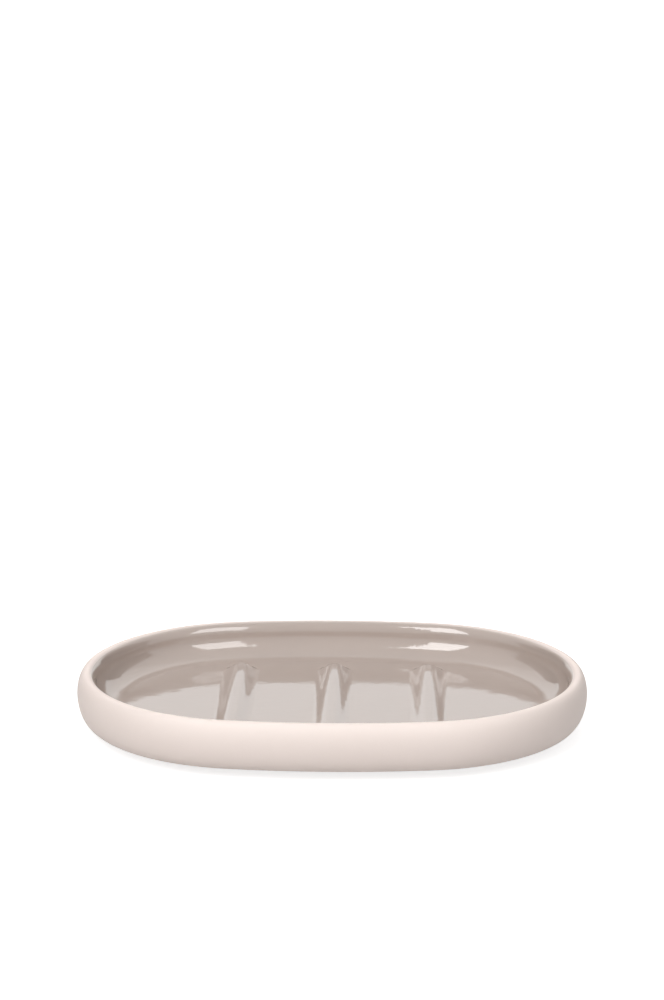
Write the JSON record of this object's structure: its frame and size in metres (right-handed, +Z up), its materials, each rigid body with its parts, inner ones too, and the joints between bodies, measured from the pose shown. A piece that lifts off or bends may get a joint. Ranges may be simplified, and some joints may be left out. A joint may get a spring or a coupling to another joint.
{
  "type": "soap dish",
  "caption": "Low oval ceramic soap dish with a thick rounded wall, a matte outside, a glossy hollow and raised draining ribs, on anti-slip pads.",
  "frame": {"origin": "on the table, under the middle of the dish, level with the bottom faces of the pads", "axes": "+X along the dish's length, +Y to its back, along the draining ribs, +Z up"},
  "size_m": [0.14, 0.1, 0.0162],
  "materials": {
    "ceramic": "matte blush-beige glaze outside, glossy glaze of the same hue in the hollow",
    "pad": "frosted translucent silicone"
  },
  "bodies": {
    "root": {"dish_body": "ceramic", "pad_front_left": "pad", "pad_front_right": "pad", "pad_rear_left": "pad", "pad_rear_right": "pad"}
  },
  "joints": []
}
